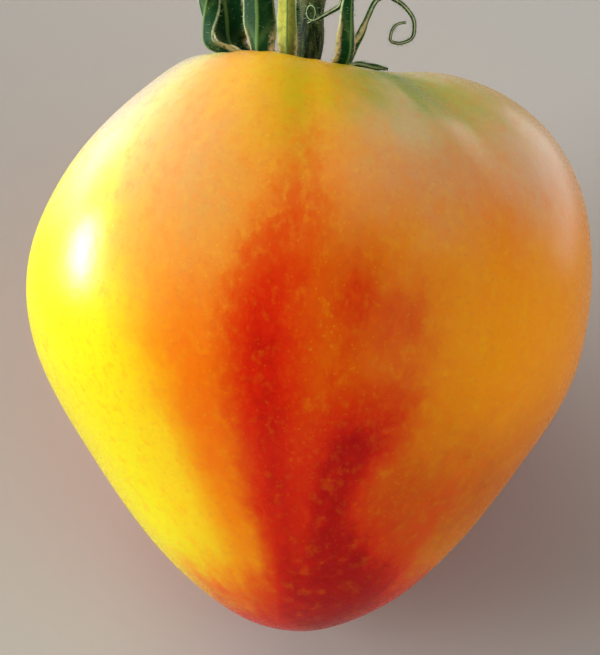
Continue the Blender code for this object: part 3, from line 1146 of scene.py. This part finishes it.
def add_softbox(name, target, box):
    """Adds an oval lamp that faces the target."""
    start = Vector(box.start) * MM
    end = Vector(box.end) * MM
    centre = (start + end) / 2
    lamp = bpy.data.lights.new(name, "AREA")
    lamp.shape = "ELLIPSE"
    lamp.size = box.width * MM
    lamp.size_y = (end - start).length
    lamp.energy = box.power
    light = bpy.data.objects.new(name, lamp)
    bpy.context.scene.collection.objects.link(light)
    along = (end - start).normalized()
    sideways = along.cross(centre - target).normalized()
    axes = Matrix((sideways, along, sideways.cross(along))).transposed()
    light.matrix_world = Matrix.Translation(centre) @ axes.to_4x4()
    light.visible_diffuse = False
    light.visible_camera = False


def floor_finish(settings):
    """Pale matt board with a faint tooth."""
    finish = Finish("pale_floor")
    place = finish.node("ShaderNodeTexCoord", "Object", {})
    tooth = finish.noise(place, 900.0, 3.0)
    cloud = finish.noise(place, 6.0, 2.0)
    darker = tuple(value * 0.93 for value in settings.floor)
    finish.set(Base_Color=finish.mix(cloud, settings.floor, darker), Roughness=tooth * 0.1 + 0.8)
    finish.set(Specular_IOR_Level=0.0)
    finish.bump(tooth, 0.05, 0.3)
    return finish.material


class TOMATO_OT_stage(bpy.types.Operator):
    """Adds the floor, the lights, the surroundings and the camera"""

    bl_idname = "tomato.stage"
    bl_label = "Stage"

    def execute(self, context):
        settings = context.scene.tomato_stage
        scene = context.scene
        shape = bmesh.new()
        bmesh.ops.create_grid(shape, x_segments=8, y_segments=8, size=4.0)
        mesh = bpy.data.meshes.new("floor")
        shape.to_mesh(mesh)
        shape.free()
        mesh.materials.append(floor_finish(settings))
        floor = bpy.data.objects.new("floor", mesh)
        scene.collection.objects.link(floor)

        target = lying_pose() @ VIEW_CENTRE
        toward = upright_to_world((0.0, -math.cos(VIEW_ABOVE_EQUATOR), math.sin(VIEW_ABOVE_EQUATOR)))
        camera = bpy.data.objects.new("camera", bpy.data.cameras.new("camera"))
        scene.collection.objects.link(camera)
        camera.location = target + toward * VIEW_DISTANCE * MM
        camera.rotation_euler = toward.to_track_quat("Z", "Y").to_euler()
        camera.data.sensor_width = SENSOR
        camera.data.lens = SENSOR * VIEW_DISTANCE / VIEW_HEIGHT
        scene.camera = camera

        for name, (direction, spread) in SUNS.items():
            add_sun(name, direction, spread, getattr(settings, name + "_light"))
        for name, box in SOFTBOXES.items():
            add_softbox(name, target, box)
        scene.world = bpy.data.worlds.new("surroundings")
        scene.world.use_nodes = True
        background = scene.world.node_tree.nodes["Background"]
        background.inputs["Color"].default_value = (*settings.backdrop, 1.0)
        scene.view_settings.view_transform = "Standard"
        return {"FINISHED"}


class TOMATO_PT_panel(bpy.types.Panel):
    """Lists the settings and the buttons that add the pieces"""

    bl_label = "Tomato"
    bl_space_type = "VIEW_3D"
    bl_region_type = "UI"
    bl_category = "Tomato"

    def draw(self, context):
        for operator, group in SECTIONS:
            box = self.layout.box()
            box.operator(operator)
            settings = getattr(context.scene, group)
            for name in settings.__annotations__:
                box.prop(settings, name)


SECTIONS = (
    ("tomato.fruit", "tomato_fruit"),
    ("tomato.calyx", "tomato_calyx"),
    ("tomato.stalk", "tomato_stalk"),
    ("tomato.stage", "tomato_stage"),
)
GROUPS = {
    "tomato_fruit": FruitSettings,
    "tomato_calyx": CalyxSettings,
    "tomato_stalk": StalkSettings,
    "tomato_stage": StageSettings,
}
CLASSES = (
    *GROUPS.values(),
    TOMATO_OT_fruit,
    TOMATO_OT_calyx,
    TOMATO_OT_stalk,
    TOMATO_OT_stage,
    TOMATO_PT_panel,
)


def register():
    for cls in CLASSES:
        bpy.utils.register_class(cls)
    for name, group in GROUPS.items():
        setattr(bpy.types.Scene, name, PointerProperty(type=group))


def unregister():
    for name in GROUPS:
        delattr(bpy.types.Scene, name)
    for cls in reversed(CLASSES):
        bpy.utils.unregister_class(cls)


def main():
    register()
    bpy.ops.tomato.stage()
    bpy.ops.tomato.fruit()
    bpy.ops.tomato.calyx()
    bpy.ops.tomato.stalk()


if __name__ == "__main__":
    main()
